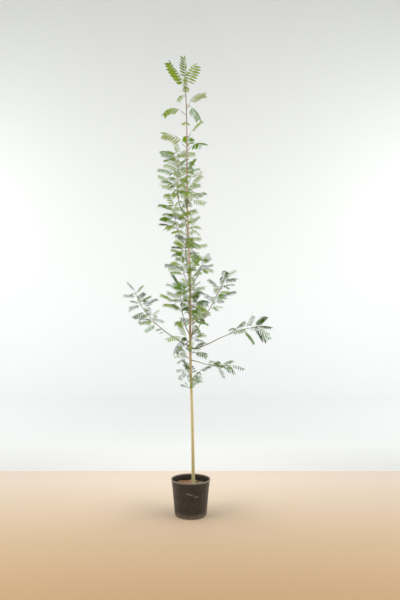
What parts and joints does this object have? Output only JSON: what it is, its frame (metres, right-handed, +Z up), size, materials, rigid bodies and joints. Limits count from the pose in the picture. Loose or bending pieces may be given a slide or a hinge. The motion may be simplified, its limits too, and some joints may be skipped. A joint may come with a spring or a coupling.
{
  "type": "young rowan tree in a nursery pot",
  "caption": "Tall slender young rowan with feathery compound leaves on a leaning stem, grown in a round tapered plastic nursery pot filled with compost.",
  "frame": {"origin": "centre of the pot's flat underside, on the surface that the pot stands on", "axes": "+Z up along the pot's axis and the trunk, +X to the right as pictured, -Y towards the viewer"},
  "size_m": [1.0606, 0.5454, 3.2525],
  "materials": {
    "pot_plastic": "satin",
    "compost": "matte",
    "trunk_bark": "matte",
    "shoot_bark": "matte",
    "foliage": "matte"
  },
  "bodies": {
    "root": {"pot": "pot_plastic", "compost": "compost", "trunk": "trunk_bark", "back_low_bough": "shoot_bark", "back_middle_bough": "shoot_bark", "back_upper_bough": "shoot_bark", "front_middle_bough": "shoot_bark", "front_upper_bough": "shoot_bark", "left_crown_bough": "shoot_bark", "left_inner_bough": "shoot_bark", "left_long_bough": "shoot_bark", "left_middle_bough": "shoot_bark", "left_outer_bough": "shoot_bark", "left_upright_bough": "shoot_bark", "right_long_bough": "shoot_bark", "right_low_bough": "shoot_bark", "right_upper_bough": "shoot_bark", "right_upright_bough": "shoot_bark", "back_low_leaves": "foliage", "back_middle_leaves": "foliage", "back_upper_leaves": "foliage", "front_dark_leaves": "foliage", "front_face_leaves": "foliage", "front_middle_leaves": "foliage", "front_right_low_leaves": "foliage", "front_upper_leaves": "foliage", "leader_back_leaves": "foliage", "leader_back_low_leaves": "foliage", "leader_front_leaves": "foliage", "leader_front_low_leaves": "foliage", "leader_hanging_leaves": "foliage", "leader_left_leaves": "foliage", "leader_pair_left_leaves": "foliage", "leader_pair_right_leaves": "foliage", "leader_right_leaves": "foliage", "leader_right_low_leaves": "foliage", "leader_right_top_leaves": "foliage", "leader_tip_leaves": "foliage", "left_crown_leaves": "foliage", "left_hand_leaves": "foliage", "left_inner_leaves": "foliage", "left_long_leaves": "foliage", "left_low_leaves": "foliage", "left_low_upper_leaves": "foliage", "left_lowest_leaves": "foliage", "left_middle_leaves": "foliage", "left_outer_leaves": "foliage", "left_upright_leaves": "foliage", "right_arch_leaves": "foliage", "right_face_leaves": "foliage", "right_hand_leaves": "foliage", "right_high_leaves": "foliage", "right_inner_leaves": "foliage", "right_long_leaves": "foliage", "right_low_leaves": "foliage", "right_lowest_leaves": "foliage", "right_middle_leaves": "foliage", "right_stalk_leaves": "foliage", "right_upper_leaves": "foliage", "right_upright_leaves": "foliage"}
  },
  "joints": []
}
